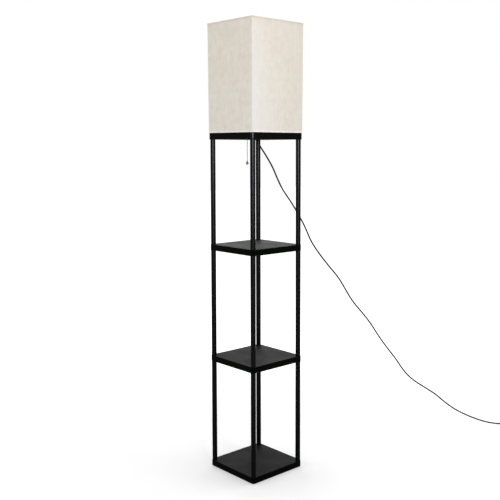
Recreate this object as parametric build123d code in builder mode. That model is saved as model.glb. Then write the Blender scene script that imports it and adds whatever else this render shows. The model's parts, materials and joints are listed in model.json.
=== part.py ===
"""Shelf floor lamp: a square tower of shelves on round tubes, with a fabric shade and a pull-chain switch.

Frame: +Z up, origin on the floor under the middle of the base. Millimetres.
"""

import os
from math import pi, radians, sqrt, tan

from build123d import *

# ---------------------------------------------------------------- driving dimensions

# floor pads and panels
pad_radius = 10
pad_height = 2
pad_inset = 32  # pad centre from the base's edge
panel_side = 235
panel_thickness = 22
panel_corner = 10
panel_edge = 1.5  # eased top and bottom edges

# tubes between the panels, one length for each stage
lower_stage = 368
middle_stage = 383
upper_stage = 374
post_radius = 9
post_wall = 1.2
post_inset = 10  # tube axis from the panel's edge

# threaded inserts in the tube ends, studs and screws
insert_length = 16
insert_fit = 0.05
stud_radius = 3
stud_reach = 12  # length of thread inside an insert
thread_fit = 0.05
stud_hole_fit = 0.25
screw_head_radius = 6
screw_head_sink = 0.5
hex_share = 0.7  # a screw's socket, radius and depth, as a share of the shank's radius

# open frame at the top of the tower
frame_overhang = 2  # the frame stands this far past the shelves on every side
frame_height = 23
rail_width = 24
frame_inner_corner = 2

# steel bar across the frame
bar_width = 25
bar_thickness = 3
bar_seat = 14  # length of bar lying in each rail
bar_fit = 0.3
bar_screw_radius = 1.75
bar_screw_head = 3.6
bar_screw_length = 14
bar_screw_inset = 7  # screw from the bar's end
screw_fit = 0.1

# threaded nipple and nuts
nipple_radius = 5
nipple_bore = 3.6
nipple_end = 1  # thread standing out below its nut
nut_across = 14
nut_thickness = 4
bar_hole_fit = 0.2

# lampholder
hub_radius = 8
hub_height = 7
cap_radius = 20
cap_height = 26
cap_wall = 2
cap_slope = 9  # height of the cap's sloping part
body_height = 40
body_wall = 3
thread_radius = 19.5
flange_radius = 24
flange_height = 12
flange_thickness = 2
ledge_radius = 12.5
ledge_thickness = 2
puck_height = 12
holder_fit = 0.1
shell_inner = 13.3
shell_wall = 0.6
shell_height = 20
shell_hole = 6
contact_radius = 3.5
contact_height = 2.6
terminal_shank = 1.5
terminal_depth = 5
terminal_head = 3
terminal_height = 2.5
terminal_spacing = 18
ring_radius = 25
ring_height = 7
ring_gap = 0.3
ring_thread_fit = 0.3
ring_flutes = 24
flute_radius = 1.2

# bulb
bulb_gap = 0.3  # end contact above the holder's contact
tip_radius = 4
tip_height = 1.4
insulator_height = 3
insulator_radius = 9
cap_thread_fit = 0.2
bulb_cap_height = 20
housing_foot_radius = 13.6
housing_foot_height = 5
housing_height = 35
housing_wall = 1.6
globe_radius = 30
globe_height = 52
globe_wall = 1.2

# pull switch, on the bar beside the lampholder
switch_offset = 45  # chain axis from the lamp's axis
switch_width = 26
switch_height = 28
switch_wall = 1.6
switch_floor = 2
switch_corner = 3
cover_thickness = 2
bushing_radius = 5
bushing_bore = 2.2
bushing_mouth = 4
bushing_reach = 13  # below the top of the bar
bushing_flange_radius = 7
bushing_flange = 1.5
flange_room = 0.4
wheel_radius = 6.5
wheel_width = 4
wheel_height = 16  # wheel axis above the bar
wheel_fit = 0.1
wheel_room = 2.5  # wheel to the housing's end wall
wheel_holes = 4
wheel_hole_radius = 0.8
pin_radius = 1.5
groove_depth = 0.6
spring_strip = 0.5
spring_width = 3
spring_turns = 3
spring_pitch = 0.9
spring_gap = 0.3
contact_plate = 1
contact_plate_height = 2.4
contact_plate_end = 1.5  # plate past the wire's axis

# pull chain
link_radius = 0.9
link_gap = 0.3
bead_radius = 1.5
bead_pitch = 4
bead_neck = 0.5
bead_count = 22
chain_tail = 0.5  # neck below the last bead
bell_radius = 5
bell_height = 14
bell_neck = 2.2

# shade
shade_gap = 0.3
shade_step = 1.5  # the fabric's foot inside the frame's edge
shade_flare = 4  # how much wider the shade is at its top
shade_height = 383.7
shade_corner = 1  # radius of the inner face's corners
fabric_thickness = 1
liner_thickness = 0.5
laminate_gap = 0.05
trim_thickness = 0.5
trim_height = 5
wire_radius = 1.5
wire_corner = 6
top_wire_drop = 3
fitter_radius = 28
fitter_thickness = 1.5
fitter_fit = 0.7

# supply cord and the leads inside the lamp
cord_radius = 3
outlet_offset = 53  # outlet from the lamp's centre plane
relief_neck_radius = 4.4
relief_neck_length = 12
relief_neck_fit = 0.1
relief_flange_radius = 7
relief_flange = 2
relief_radius = 4.8
relief_tip_radius = 3.8
relief_bend = 7
relief_taper = 24
lead_turn_place = 85  # where the inner lead leaves the outlet's axis
lead_turn = 20
lead_dip = 9  # lowest point below the nipple
lead_rise = 8.5
lead_end = 3  # lead above the hub, inside the cap
core_radius = 1  # insulated wire
core_offset = 1.15  # each core from the lead's axis
core_bend = 3
core_start = 3.5
wire_height = 20  # wire holes above the bar
wire_hole = 3
wire_lane = 1.5  # each switch wire above or below the hole's axis
wire_stub = 3.4  # switch wires inside the switch housing

# plug
plug_width = 24
plug_thickness = 15
plug_length = 34
plug_corner = 4
plug_edge = 1.5
plug_neck_tip = 3.8
plug_neck_radius = 5
plug_neck_length = 14
blade_spacing = 12.7
blade_thickness = 1.5
blade_width = 6.35
blade_length = 17.5

# ---------------------------------------------------------------- levels and places

base_z = pad_height
lower_z = base_z + panel_thickness + lower_stage
upper_z = lower_z + panel_thickness + middle_stage
frame_z = upper_z + panel_thickness + upper_stage
frame_top = frame_z + frame_height
bar_z = frame_top - bar_thickness
post_offset = panel_side / 2 - post_inset
frame_side = panel_side + 2 * frame_overhang
frame_corner = panel_corner + frame_overhang
frame_opening = frame_side - 2 * rail_width
tube_bore = post_radius - post_wall
stud_hole = stud_radius + stud_hole_fit
countersink = screw_head_radius + stud_hole_fit + screw_head_sink
bar_length = frame_opening + 2 * bar_seat
bar_screw_offset = bar_length / 2 - bar_screw_inset

body_z = frame_top + cap_height
body_bore = thread_radius - body_wall
seat_z = body_z + flange_height
puck_z = body_z + ledge_thickness
terminal_z = puck_z - terminal_height
shell_z = puck_z + puck_height
tip_z = shell_z + contact_height + bulb_gap
insulator_z = tip_z + tip_height
bulb_cap_z = insulator_z + insulator_height
bulb_cap_radius = shell_inner - cap_thread_fit
housing_z = bulb_cap_z + bulb_cap_height
globe_z = housing_z + housing_height

chain_z = frame_top - bushing_reach
wheel_x = -switch_offset - link_radius - link_gap - wheel_radius
wheel_z = frame_top + wheel_height
switch_right = -switch_offset + bushing_flange_radius + flange_room + switch_wall
switch_left = wheel_x - wheel_radius - wheel_room - switch_wall
switch_length = switch_right - switch_left
switch_x = (switch_right + switch_left) / 2
chain_length = (bead_count - 1) * bead_pitch
chain_end = chain_length + bead_radius + chain_tail
bell_z = chain_z - chain_end - bell_height

shade_bottom = frame_side - 2 * shade_step
shade_z = frame_top + shade_gap
shade_end = shade_z + shade_height
fabric_z = shade_z + trim_thickness
fabric_end = shade_end - trim_thickness
laminate = fabric_thickness + laminate_gap + liner_thickness
trim_face = -laminate_gap - trim_thickness
spider_z = shade_z + wire_radius
top_wire_z = fabric_end - top_wire_drop - wire_radius

outlet_z = frame_z + frame_height / 2
relief_x = -frame_side / 2 - relief_flange - relief_bend
relief_end = outlet_offset + relief_bend + relief_taper
lead_z = bar_z - nut_thickness - nipple_end - lead_dip
lead_end_z = frame_top + hub_height + lead_end
wire_z = frame_top + wire_height
wire_x = switch_right - switch_wall - wire_stub

stages = {
    "lower": (base_z + panel_thickness, lower_stage),
    "middle": (lower_z + panel_thickness, middle_stage),
    "upper": (upper_z + panel_thickness, upper_stage),
}
corners = {"front_left": (-1, -1), "front_right": (1, -1), "rear_left": (-1, 1), "rear_right": (1, 1)}

# the supply cord from the strain relief's tip to the plug's neck
plug_z = plug_thickness / 2
cord_points = [
    (relief_x, relief_end, outlet_z),
    (relief_x, relief_end + 16, outlet_z),
    (-127, 117, 1194),
    (-121, 131, 1168),
    (-111, 150, 1136),
    (-98, 173, 1091),
    (-90, 187, 1052),
    (-79, 206, 1005),
    (-62, 236, 957),
    (-46, 266, 901),
    (-33, 289, 850),
    (-24, 306, 803),
    (-7, 336, 752),
    (11, 370, 704),
    (32, 406, 655),
    (45, 430, 609),
    (60, 456, 559),
    (79, 490, 514),
    (98, 524, 466),
    (113, 550, 418),
    (130, 582, 368),
    (150, 618, 317),
    (168, 650, 262),
    (186, 683, 224),
    (212, 728, 189),
    (235, 772, 157),
    (256, 808, 120),
    (280, 851, 83),
    (308, 902, 52),
    (335, 950, 28),
    (360, 995, 11),
    (384, 1038, cord_radius + 0.1),
    (401, 1069, cord_radius + 0.1),
    (409, 1100, cord_radius + 1.1),
    (407, 1132, plug_z),
    (398, 1160, plug_z),
]

os.makedirs("parts", exist_ok=True)


def save(part, name):
    """Labels a finished piece and writes it under its name."""
    part.label = name
    export_step(part, f"parts/{name}.step")


def upright(x, z, y=0):
    """A plane facing the front of the lamp, its origin at a place in it."""
    return Plane(origin=(x, y, z), x_dir=(1, 0, 0), z_dir=(0, -1, 0))


def start_plane(path):
    """The plane across a path at its start."""
    return Plane(origin=path @ 0, z_dir=path % 0)


def post_axes():
    """The four tube axes, seen from above."""
    return GridLocations(2 * post_offset, 2 * post_offset, 2, 2)


def countersunk_screw(shank, head, length):
    """A flat-head screw with a hexagon socket, its head face on the origin and its shank down."""
    with BuildPart() as screw:
        with BuildSketch(Plane.XZ):
            Polygon((0, 0), (0, -length), (shank, -length), (shank, shank - head), (head, 0), align=None)
        revolve(axis=Axis.Z)
        with BuildSketch(Plane.XY):
            RegularPolygon(radius=shank * hex_share, side_count=6)
        extrude(amount=-shank * hex_share, mode=Mode.SUBTRACT)
    return screw.part


# ---------------------------------------------------------------- tower

with BuildPart() as base_shelf:
    with BuildSketch(Plane.XY.offset(base_z)):
        RectangleRounded(panel_side, panel_side, panel_corner)
    extrude(amount=panel_thickness)
    fillet(base_shelf.faces().filter_by(Axis.Z).edges(), radius=panel_edge)
    with Locations(Plane.XY.offset(base_z).rotated((180, 0, 0))):
        with post_axes():
            CounterSinkHole(stud_hole, countersink, counter_sink_angle=90)
save(base_shelf.part, "base_shelf")

for shelf_name, shelf_z in (("lower_shelf", lower_z), ("upper_shelf", upper_z)):
    with BuildPart() as shelf:
        with BuildSketch(Plane.XY.offset(shelf_z)):
            RectangleRounded(panel_side, panel_side, panel_corner)
        extrude(amount=panel_thickness)
        fillet(shelf.faces().filter_by(Axis.Z).edges(), radius=panel_edge)
        with BuildSketch(Plane.XY.offset(shelf_z)):
            with post_axes():
                Circle(stud_hole)
        extrude(amount=panel_thickness, mode=Mode.SUBTRACT)
    save(shelf.part, shelf_name)

with BuildPart() as top_frame:
    with BuildSketch(Plane.XY.offset(frame_z)):
        RectangleRounded(frame_side, frame_side, frame_corner)
        RectangleRounded(frame_opening, frame_opening, frame_inner_corner, mode=Mode.SUBTRACT)
    extrude(amount=frame_height)
    fillet(top_frame.faces().filter_by(Axis.Z).edges(), radius=panel_edge)
    with BuildSketch(Plane.XY.offset(bar_z)):
        Rectangle(bar_length + 2 * bar_fit, bar_width + 2 * bar_fit)
    extrude(amount=bar_thickness, mode=Mode.SUBTRACT)
    with BuildSketch(Plane.XY.offset(bar_z)):
        with GridLocations(2 * bar_screw_offset, 0, 2, 1):
            Circle(bar_screw_radius + screw_fit)
    extrude(amount=bar_thickness - bar_screw_length - screw_fit, mode=Mode.SUBTRACT)
    with Locations(Plane.XY.offset(frame_top)):
        with post_axes():
            CounterSinkHole(stud_hole, countersink, counter_sink_angle=90)
    with BuildSketch(Plane.YZ.offset(-frame_side / 2)):
        with Locations((outlet_offset, outlet_z)):
            Circle(relief_neck_radius + relief_neck_fit)
    extrude(amount=rail_width, mode=Mode.SUBTRACT)
save(top_frame.part, "top_frame")

for stage, (stage_z, stage_length) in stages.items():
    for corner, (side_x, side_y) in corners.items():
        with BuildPart() as post:
            with BuildSketch(Plane.XY.offset(stage_z)):
                with Locations((side_x * post_offset, side_y * post_offset)):
                    Circle(post_radius)
                    Circle(tube_bore, mode=Mode.SUBTRACT)
            extrude(amount=stage_length)
        save(post.part, f"{stage}_post_{corner}")

with BuildPart() as tube_inserts:
    for stage_z, stage_length in stages.values():
        for insert_z in (stage_z, stage_z + stage_length - insert_length):
            with BuildSketch(Plane.XY.offset(insert_z)):
                with post_axes():
                    Circle(tube_bore - insert_fit)
                    Circle(stud_radius + thread_fit, mode=Mode.SUBTRACT)
            extrude(amount=insert_length)
save(tube_inserts.part, "tube_inserts")

with BuildPart() as joining_studs:
    for shelf_z in (lower_z, upper_z):
        with BuildSketch(Plane.XY.offset(shelf_z - stud_reach)):
            with post_axes():
                Circle(stud_radius)
        extrude(amount=panel_thickness + 2 * stud_reach)
save(joining_studs.part, "joining_studs")

base_screw = countersunk_screw(stud_radius, screw_head_radius, panel_thickness - screw_head_sink + stud_reach)
with BuildPart() as base_screws:
    with Locations(Plane.XY.offset(base_z + screw_head_sink).rotated((180, 0, 0))):
        with post_axes():
            add(base_screw)
save(base_screws.part, "base_screws")

frame_screw = countersunk_screw(stud_radius, screw_head_radius, frame_height - screw_head_sink + stud_reach)
with BuildPart() as frame_screws:
    with Locations(Plane.XY.offset(frame_top - screw_head_sink)):
        with post_axes():
            add(frame_screw)
save(frame_screws.part, "frame_screws")

with BuildPart() as foot_pads:
    with BuildSketch(Plane.XY):
        with GridLocations(panel_side - 2 * pad_inset, panel_side - 2 * pad_inset, 2, 2):
            Circle(pad_radius)
    extrude(amount=pad_height)
save(foot_pads.part, "foot_pads")

# ---------------------------------------------------------------- bar, nipple and nuts

with BuildPart() as cross_bar:
    with BuildSketch(Plane.XY.offset(bar_z)):
        Rectangle(bar_length, bar_width)
        Circle(nipple_radius + bar_hole_fit, mode=Mode.SUBTRACT)
        with Locations((-switch_offset, 0)):
            Circle(bushing_radius + bar_hole_fit, mode=Mode.SUBTRACT)
    extrude(amount=bar_thickness)
    with Locations(Plane.XY.offset(frame_top)):
        with GridLocations(2 * bar_screw_offset, 0, 2, 1):
            CounterSinkHole(bar_screw_radius + screw_fit, bar_screw_head + screw_fit, counter_sink_angle=90)
save(cross_bar.part, "cross_bar")

bar_screw = countersunk_screw(bar_screw_radius, bar_screw_head, bar_screw_length)
with BuildPart() as bar_screws:
    with Locations(Plane.XY.offset(frame_top)):
        with GridLocations(2 * bar_screw_offset, 0, 2, 1):
            add(bar_screw)
save(bar_screws.part, "bar_screws")

with BuildPart() as threaded_nipple:
    with BuildSketch(Plane.XY.offset(bar_z - nut_thickness - nipple_end)):
        Circle(nipple_radius)
        Circle(nipple_bore, mode=Mode.SUBTRACT)
    extrude(amount=nipple_end + nut_thickness + bar_thickness + hub_height)
save(threaded_nipple.part, "threaded_nipple")

with BuildPart() as bar_nuts:
    with BuildSketch(Plane.XY.offset(bar_z - nut_thickness)):
        for nut_x, thread in ((0, nipple_radius), (-switch_offset, bushing_radius)):
            with Locations((nut_x, 0)):
                RegularPolygon(radius=nut_across / 2, side_count=6, major_radius=False)
                Circle(thread + thread_fit, mode=Mode.SUBTRACT)
    extrude(amount=nut_thickness)
save(bar_nuts.part, "bar_nuts")

# ---------------------------------------------------------------- lampholder, outlines as (radius, height)

with BuildPart() as socket_cap:
    with BuildSketch(upright(0, frame_top)):
        Polygon(
            (nipple_radius + thread_fit, 0),
            (hub_radius, 0),
            (hub_radius, hub_height - cap_wall),
            (cap_radius, hub_height - cap_wall + cap_slope),
            (cap_radius, cap_height),
            (cap_radius - cap_wall, cap_height),
            (cap_radius - cap_wall, hub_height + cap_slope),
            (hub_radius, hub_height),
            (nipple_radius + thread_fit, hub_height),
            align=None,
        )
    revolve(axis=Axis.Z)
    with BuildSketch(Plane.YZ):
        with Locations((0, wire_z)):
            Circle(wire_hole)
    extrude(amount=-cap_radius, mode=Mode.SUBTRACT)
save(socket_cap.part, "socket_cap")

with BuildPart() as socket_body:
    with BuildSketch(upright(0, body_z)):
        Polygon(
            (ledge_radius, 0),
            (cap_radius, 0),
            (cap_radius, flange_height - flange_thickness),
            (flange_radius, flange_height - flange_thickness),
            (flange_radius, flange_height),
            (thread_radius, flange_height),
            (thread_radius, body_height),
            (body_bore, body_height),
            (body_bore, ledge_thickness),
            (ledge_radius, ledge_thickness),
            align=None,
        )
    revolve(axis=Axis.Z)
save(socket_body.part, "socket_body")

with BuildPart() as socket_insert:
    with BuildSketch(Plane.XY.offset(puck_z)):
        Circle(body_bore - holder_fit)
    extrude(amount=puck_height)
    with BuildSketch(Plane.XY.offset(puck_z)):
        with GridLocations(0, terminal_spacing, 1, 2):
            Circle(terminal_shank + thread_fit)
    extrude(amount=terminal_depth, mode=Mode.SUBTRACT)
save(socket_insert.part, "socket_insert")

with BuildPart() as terminal_screws:
    for radius, height in ((terminal_shank, terminal_depth), (terminal_head, -terminal_height)):
        with BuildSketch(Plane.XY.offset(puck_z)):
            with GridLocations(0, terminal_spacing, 1, 2):
                Circle(radius)
        extrude(amount=height)
save(terminal_screws.part, "terminal_screws")

with BuildPart() as screw_shell:
    with BuildSketch(upright(0, shell_z)):
        Polygon(
            (shell_hole, 0),
            (shell_inner + shell_wall, 0),
            (shell_inner + shell_wall, shell_height),
            (shell_inner, shell_height),
            (shell_inner, shell_wall),
            (shell_hole, shell_wall),
            align=None,
        )
    revolve(axis=Axis.Z)
save(screw_shell.part, "screw_shell")

with BuildPart() as centre_contact:
    with BuildSketch(upright(0, shell_z)):
        Polygon(
            (0, 0),
            (contact_radius, 0),
            (contact_radius, shell_wall),
            (contact_radius / 2, contact_height),
            (0, contact_height),
            align=None,
        )
    revolve(axis=Axis.Z)
save(centre_contact.part, "centre_contact")

with BuildPart() as shade_ring:
    with BuildSketch(Plane.XY.offset(seat_z + fitter_thickness + ring_gap)):
        Circle(ring_radius)
        Circle(thread_radius + ring_thread_fit, mode=Mode.SUBTRACT)
        with PolarLocations(ring_radius, ring_flutes):
            Circle(flute_radius, mode=Mode.SUBTRACT)
    extrude(amount=ring_height)
save(shade_ring.part, "shade_ring")

# ---------------------------------------------------------------- bulb

with BuildPart() as bulb_contact:
    with BuildSketch(upright(0, tip_z)):
        Polygon((0, 0), (tip_radius - tip_height, 0), (tip_radius, tip_height), (0, tip_height), align=None)
    revolve(axis=Axis.Z)
save(bulb_contact.part, "bulb_contact")

with BuildPart() as bulb_insulator:
    with BuildSketch(upright(0, insulator_z)):
        Polygon(
            (0, 0),
            (tip_radius, 0),
            (insulator_radius, insulator_height),
            (0, insulator_height),
            align=None,
        )
    revolve(axis=Axis.Z)
save(bulb_insulator.part, "bulb_insulator")

with BuildPart() as bulb_cap:
    with BuildSketch(upright(0, bulb_cap_z)):
        Polygon(
            (0, 0),
            (insulator_radius, 0),
            (bulb_cap_radius, bulb_cap_radius - insulator_radius),
            (bulb_cap_radius, bulb_cap_height),
            (bulb_cap_radius - shell_wall, bulb_cap_height),
            (bulb_cap_radius - shell_wall, bulb_cap_radius - insulator_radius + shell_wall),
            (insulator_radius - shell_wall, shell_wall),
            (0, shell_wall),
            align=None,
        )
    revolve(axis=Axis.Z)
save(bulb_cap.part, "bulb_cap")

with BuildPart() as bulb_housing:
    with BuildSketch(upright(0, housing_z)):
        Polygon(
            (0, 0),
            (housing_foot_radius, 0),
            (housing_foot_radius, housing_foot_height),
            (globe_radius, housing_height),
            (globe_radius - housing_wall, housing_height),
            (housing_foot_radius - housing_wall, housing_foot_height),
            (housing_foot_radius - housing_wall, housing_wall),
            (0, housing_wall),
            align=None,
        )
    revolve(axis=Axis.Z)
save(bulb_housing.part, "bulb_housing")

with BuildPart() as bulb_globe:
    with BuildSketch(upright(0, globe_z)):
        for radius, mode in ((globe_radius, Mode.ADD), (globe_radius - globe_wall, Mode.SUBTRACT)):
            shoulder = globe_height - globe_radius
            with BuildLine():
                Polyline((0, shoulder + radius), (0, 0), (radius, 0), (radius, shoulder))
                CenterArc((0, shoulder), radius, 0, 90)
            make_face(mode=mode)
    revolve(axis=Axis.Z)
save(bulb_globe.part, "bulb_globe")

# ---------------------------------------------------------------- pull switch


def switch_outline(wall):
    """The switch housing's outline seen from above, drawn in by a wall."""
    corner = switch_corner + switch_wall - wall
    with Locations((switch_x, 0)):
        RectangleRounded(switch_length - 2 * wall, switch_width - 2 * wall, corner)


with BuildPart() as switch_housing:
    with BuildSketch(Plane.XY.offset(frame_top)):
        switch_outline(0)
    extrude(amount=switch_height)
    with BuildSketch(Plane.XY.offset(frame_top + switch_floor)):
        switch_outline(switch_wall)
    extrude(amount=switch_height - switch_floor, mode=Mode.SUBTRACT)
    with BuildSketch(Plane.XY.offset(frame_top)):
        with Locations((-switch_offset, 0)):
            Circle(bushing_radius + bar_hole_fit)
    extrude(amount=switch_floor, mode=Mode.SUBTRACT)
    with BuildSketch(upright(wheel_x, wheel_z, switch_width / 2)):
        Circle(pin_radius + thread_fit)
    extrude(amount=switch_width, mode=Mode.SUBTRACT)
    with BuildSketch(Plane.YZ.offset(switch_right)):
        with Locations((0, wire_z)):
            Circle(wire_hole)
    extrude(amount=-switch_wall, mode=Mode.SUBTRACT)
save(switch_housing.part, "switch_housing")

with BuildPart() as switch_cover:
    with BuildSketch(Plane.XY.offset(frame_top + switch_height)):
        switch_outline(0)
    extrude(amount=cover_thickness)
    fillet(switch_cover.faces().sort_by(Axis.Z)[-1].edges(), radius=cover_thickness / 2)
save(switch_cover.part, "switch_cover")

chain_axis = Axis((-switch_offset, 0, 0), (0, 0, 1))
with BuildPart() as switch_bushing:
    with BuildSketch(upright(-switch_offset, chain_z)):
        Polygon(
            (bushing_mouth, 0),
            (bushing_radius, 0),
            (bushing_radius, bushing_reach + switch_floor),
            (bushing_flange_radius, bushing_reach + switch_floor),
            (bushing_flange_radius, bushing_reach + switch_floor + bushing_flange),
            (bushing_bore, bushing_reach + switch_floor + bushing_flange),
            (bushing_bore, bushing_mouth - bushing_bore),
            align=None,
        )
    revolve(axis=chain_axis)
save(switch_bushing.part, "switch_bushing")

with BuildPart() as switch_wheel:
    with BuildSketch(upright(wheel_x, wheel_z, wheel_width / 2)):
        Circle(wheel_radius)
        Circle(pin_radius + wheel_fit, mode=Mode.SUBTRACT)
        with PolarLocations((wheel_radius + pin_radius) / 2, wheel_holes):
            Circle(wheel_hole_radius, mode=Mode.SUBTRACT)
    extrude(amount=wheel_width)
    with BuildSketch(Plane.XY.offset(wheel_z)):
        with Locations((wheel_x + wheel_radius, 0)):
            Circle(groove_depth)
    revolve(axis=Axis((wheel_x, 0, wheel_z), (0, 1, 0)), mode=Mode.SUBTRACT)
save(switch_wheel.part, "switch_wheel")

with BuildPart() as wheel_pin:
    with BuildSketch(upright(wheel_x, wheel_z, switch_width / 2)):
        Circle(pin_radius)
    extrude(amount=switch_width)
save(wheel_pin.part, "wheel_pin")

# a flat spiral of half circles, each larger than the last by half the pitch
first_turn = pin_radius + spring_gap + spring_strip / 2 + spring_pitch / 4
with BuildPart() as return_spring:
    with BuildSketch(upright(wheel_x, wheel_z, wheel_width / 2 + spring_gap + spring_width)):
        with BuildLine():
            for half in range(2 * spring_turns):
                centre = spring_pitch / 4 if half % 2 else -spring_pitch / 4
                CenterArc((centre, 0), first_turn + half * spring_pitch / 2, 180 * (half % 2), 180)
        trace(line_width=spring_strip)
    extrude(amount=spring_width)
save(return_spring.part, "return_spring")

# one plate for each switch wire, from the side wall to just past the wire's end
plate_reach = switch_width / 2 - switch_wall
with BuildPart() as switch_contacts:
    for side in (-1, 1):
        with BuildSketch(Plane.YZ.offset(wire_x)):
            with Locations((side * (plate_reach - contact_plate_end) / 2, wire_z + side * wire_lane)):
                Rectangle(plate_reach + contact_plate_end, contact_plate_height)
        extrude(amount=-contact_plate)
save(switch_contacts.part, "switch_contacts")

# ---------------------------------------------------------------- pull chain

with BuildPart() as pull_link:
    with BuildSketch(Plane.XY.offset(chain_z + bead_radius + link_gap)):
        with Locations((-switch_offset, 0)):
            Circle(link_radius)
    extrude(amount=wheel_z - chain_z - bead_radius - link_gap)
save(pull_link.part, "pull_link")

with BuildPart() as pull_chain:
    with BuildSketch(upright(-switch_offset, chain_z)):
        with Locations(*[(0, -bead_pitch * bead) for bead in range(bead_count)]):
            Circle(bead_radius)
        with Locations((0, -chain_end / 2)):
            Rectangle(2 * bead_neck, chain_end)
        with Locations((bead_radius, -chain_end / 2)):
            Rectangle(2 * bead_radius, chain_end + 2 * bead_radius, mode=Mode.INTERSECT)
    revolve(axis=chain_axis)
save(pull_chain.part, "pull_chain")

with BuildPart() as chain_bell:
    with BuildSketch(upright(-switch_offset, bell_z)):
        with BuildLine():
            Polyline((0, 0), (0, bell_height), (bell_neck, bell_height))
            Spline(
                (bell_neck, bell_height),
                (bell_radius, bell_height * 0.36),
                (0, 0),
                tangents=[(0, -1), (-1, 0)],
            )
        make_face()
    revolve(axis=chain_axis)
save(chain_bell.part, "chain_bell")

# ---------------------------------------------------------------- shade


def shade_side(level):
    """Side of the fabric's outer face at a level: it widens evenly from bottom to top."""
    return shade_bottom + shade_flare * (level - shade_z) / shade_height


def shade_square(level, inset):
    """Draws the shade's square at a level, moved in from the fabric's outer face."""
    side = shade_side(level) - 2 * inset
    RectangleRounded(side, side, shade_corner + laminate - inset)


def wire_square(half):
    """A square of wire with round corners, half its side from the middle to its axis."""
    turns = [(half, half), (-half, half), (-half, -half), (half, -half)]
    return FilletPolyline(*turns, radius=wire_corner, close=True)


# each band runs between two levels, from its outer to its inner distance inside the fabric's face
inside = laminate + laminate_gap + wire_radius
shade_bands = {
    "shade_fabric": [(fabric_z, fabric_end, 0, fabric_thickness)],
    "shade_liner": [(fabric_z, fabric_end, fabric_thickness + laminate_gap, laminate)],
    "bottom_trim": [
        (shade_z, fabric_z, trim_face, laminate),
        (fabric_z, shade_z + trim_height, trim_face, -laminate_gap),
    ],
    "top_trim": [
        (fabric_end, shade_end, trim_face, laminate),
        (shade_end - trim_height, fabric_end, trim_face, -laminate_gap),
    ],
}
for band_name, bands in shade_bands.items():
    pieces = []
    for low, high, outer, inner in bands:
        with BuildPart() as band:
            for inset, mode in ((outer, Mode.ADD), (inner, Mode.SUBTRACT)):
                for level in (low, high):
                    with BuildSketch(Plane.XY.offset(level)):
                        shade_square(level, inset)
                loft(mode=mode)
        pieces.append(band.part)
    with BuildPart() as joined_band:
        add(pieces)
    save(joined_band.part, band_name)

with BuildPart() as shade_top_ring:
    with BuildLine(Plane.XY.offset(top_wire_z)):
        top_wire = wire_square(shade_side(top_wire_z) / 2 - inside)
    with BuildSketch(start_plane(top_wire)):
        Circle(wire_radius)
    sweep()
save(shade_top_ring.part, "shade_top_ring")

spider_half = shade_side(spider_z) / 2 - inside
arm_foot = spider_half - wire_corner * (1 - 1 / sqrt(2))
arm_head = (fitter_radius - fitter_thickness) / sqrt(2)
with BuildPart() as shade_spider:
    with BuildLine(Plane.XY.offset(spider_z)):
        bottom_wire = wire_square(spider_half)
    with BuildSketch(start_plane(bottom_wire)):
        Circle(wire_radius)
    sweep()
    for side_x, side_y in corners.values():
        with BuildLine():
            arm = Line(
                (side_x * arm_foot, side_y * arm_foot, spider_z),
                (side_x * arm_head, side_y * arm_head, seat_z + fitter_thickness / 2),
            )
        with BuildSketch(start_plane(arm)):
            Circle(wire_radius)
        sweep()
    with BuildSketch(Plane.XY.offset(seat_z)):
        Circle(fitter_radius)
    extrude(amount=fitter_thickness)
    with BuildSketch(Plane.XY.offset(seat_z)):
        Circle(thread_radius + fitter_fit)
    extrude(amount=fitter_thickness, mode=Mode.SUBTRACT)
save(shade_spider.part, "shade_spider")

# ---------------------------------------------------------------- leads inside the lamp

with BuildPart() as inner_lead:
    with BuildLine():
        lead = FilletPolyline(
            (-frame_side / 2 + relief_neck_length, outlet_offset, outlet_z),
            (-lead_turn_place, outlet_offset, outlet_z),
            (0, 0, lead_z),
            (0, 0, lead_end_z),
            radius=[lead_turn, lead_rise],
        )
    with BuildSketch(start_plane(lead)):
        Circle(cord_radius)
    sweep()
save(inner_lead.part, "inner_lead")

# lead to terminal, lead to switch, switch to the other terminal
wire_routes = [
    [
        (0, -core_offset, lead_end_z),
        (0, -core_offset, lead_end_z + core_start),
        (0, -terminal_spacing / 2, terminal_z - core_start),
        (0, -terminal_spacing / 2, terminal_z),
    ],
    [
        (0, core_offset, lead_end_z),
        (0, core_offset, lead_end_z + core_start),
        (-cap_radius + 2 * cap_wall, 0, wire_z - wire_lane),
        (wire_x, 0, wire_z - wire_lane),
    ],
    [
        (wire_x, 0, wire_z + wire_lane),
        (-cap_radius / 2, 0, wire_z + wire_lane),
        (0, terminal_spacing / 2, wire_z + wire_lane),
        (0, terminal_spacing / 2, terminal_z),
    ],
]
with BuildPart() as inner_wires:
    for route in wire_routes:
        with BuildLine():
            wire = FilletPolyline(*route, radius=core_bend)
        with BuildSketch(start_plane(wire)):
            Circle(core_radius)
        sweep()
save(inner_wires.part, "inner_wires")

# ---------------------------------------------------------------- strain relief, cord and plug

with BuildPart() as strain_relief:
    with BuildSketch(Plane.YZ.offset(-frame_side / 2)):
        with Locations((outlet_offset, outlet_z)):
            Circle(relief_neck_radius)
    extrude(amount=relief_neck_length)
    with BuildSketch(Plane.YZ.offset(-frame_side / 2)):
        with Locations((outlet_offset, outlet_z)):
            Circle(relief_flange_radius)
    extrude(amount=-relief_flange)
    with BuildLine(Plane.XY.offset(outlet_z)):
        elbow = JernArc((relief_x + relief_bend, outlet_offset), (-1, 0), relief_bend, -90)
    with BuildSketch(start_plane(elbow)):
        Circle(relief_radius)
    sweep()
    for taper_place, taper_radius in ((relief_taper, relief_radius), (0, relief_tip_radius)):
        with BuildSketch(upright(relief_x, outlet_z, relief_end - taper_place)):
            Circle(taper_radius)
    loft()
save(strain_relief.part, "strain_relief")


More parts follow.
